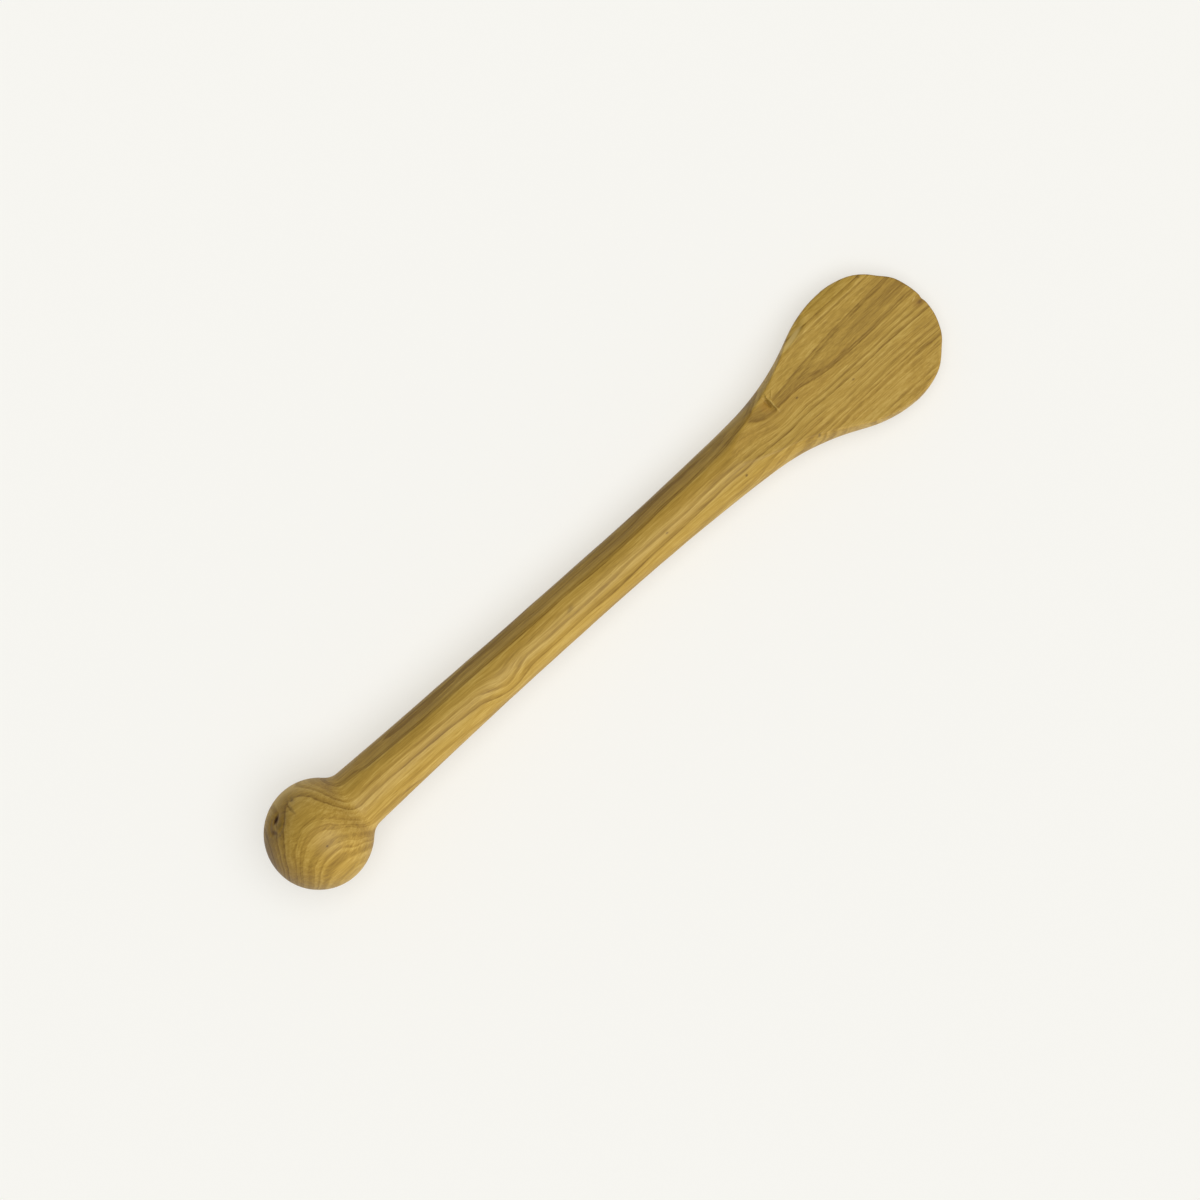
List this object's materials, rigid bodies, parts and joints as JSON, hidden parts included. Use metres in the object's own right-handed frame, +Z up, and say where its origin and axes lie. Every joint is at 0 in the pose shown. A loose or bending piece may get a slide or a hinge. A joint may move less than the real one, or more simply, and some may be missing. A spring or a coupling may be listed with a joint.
{
  "type": "mustard spoon",
  "caption": "Small turned wooden spoon for mustard, with a ball knob, a slim waisted round stem and a pear-shaped blade flattened on both sides.",
  "frame": {"origin": "bottom centre of the box around the spoon as it lies on a table", "axes": "+X along the spoon, from the ball knob to the blade's tip; +Z up, out of the blade's face; Y across the blade. The turning axis dips about 2.4 degrees towards the tip, because the spoon lies on its ball and on the heel of the blade"},
  "size_m": [0.12, 0.0202, 0.0155],
  "materials": {
    "boxwood": "satin"
  },
  "bodies": {
    "root": {"knob": "boxwood", "handle": "boxwood", "blade": "boxwood"}
  },
  "joints": []
}
